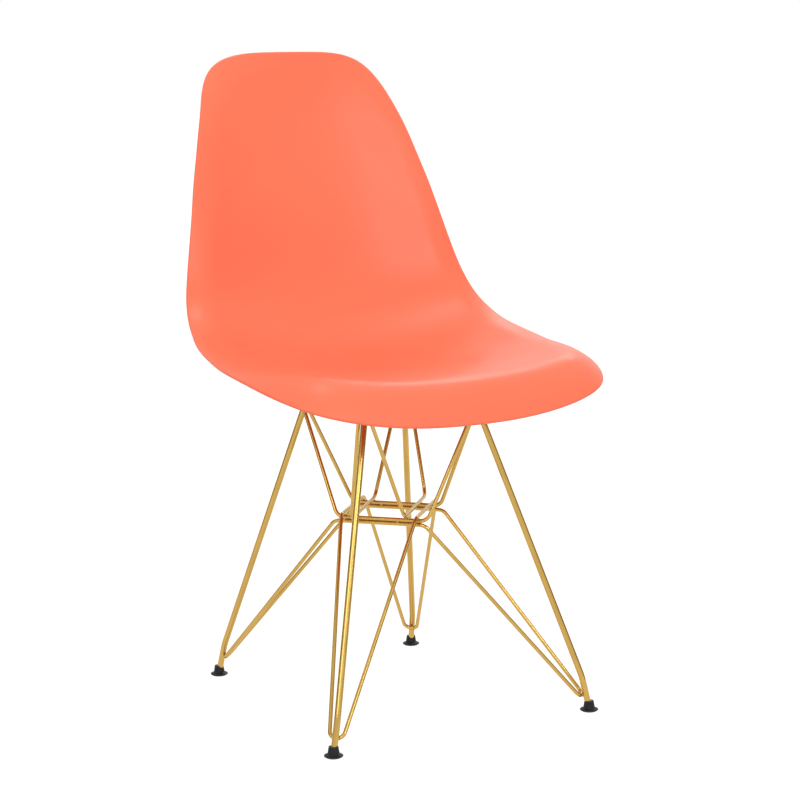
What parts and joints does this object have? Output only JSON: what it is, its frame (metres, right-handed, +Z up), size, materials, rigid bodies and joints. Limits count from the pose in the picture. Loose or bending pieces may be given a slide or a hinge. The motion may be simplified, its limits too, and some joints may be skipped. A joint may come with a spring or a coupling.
{
  "type": "moulded plastic shell chair with wire base",
  "caption": "Armless side chair: a moulded plastic shell with a rolled rim on splayed steel rod legs, braced by crossing wire loops.",
  "frame": {"origin": "on the floor, under the middle of the chair's bounding box", "axes": "+Z up; the sitter faces -Y; +X is the right of someone who looks at the chair's front"},
  "size_m": [0.4724, 0.4722, 0.8136],
  "materials": {
    "coral_plastic": "satin moulded polypropylene",
    "black_plastic": "satin black polyethylene",
    "gold_steel": "polished gold-plated steel",
    "brass_insert": "turned brass",
    "dark_steel": "black zinc-plated steel"
  },
  "bodies": {
    "root": {"seat_shell": "coral_plastic", "threaded_inserts": "brass_insert", "mounting_screws": "dark_steel", "screw_washers": "dark_steel", "mount_spacer_front_left": "black_plastic", "mount_spacer_front_right": "black_plastic", "mount_spacer_rear_left": "black_plastic", "mount_spacer_rear_right": "black_plastic", "mounting_tab_front_left": "gold_steel", "mounting_tab_front_right": "gold_steel", "mounting_tab_rear_left": "gold_steel", "mounting_tab_rear_right": "gold_steel", "cross_rail_front": "gold_steel", "cross_rail_rear": "gold_steel", "leg_rod_left": "gold_steel", "leg_rod_right": "gold_steel", "lower_wire_loop_1": "gold_steel", "lower_wire_loop_2": "gold_steel", "upper_wire_loop_1": "gold_steel", "upper_wire_loop_2": "gold_steel", "foot_glide_front_left": "black_plastic", "foot_glide_front_right": "black_plastic", "foot_glide_rear_left": "black_plastic", "foot_glide_rear_right": "black_plastic"}
  },
  "joints": []
}
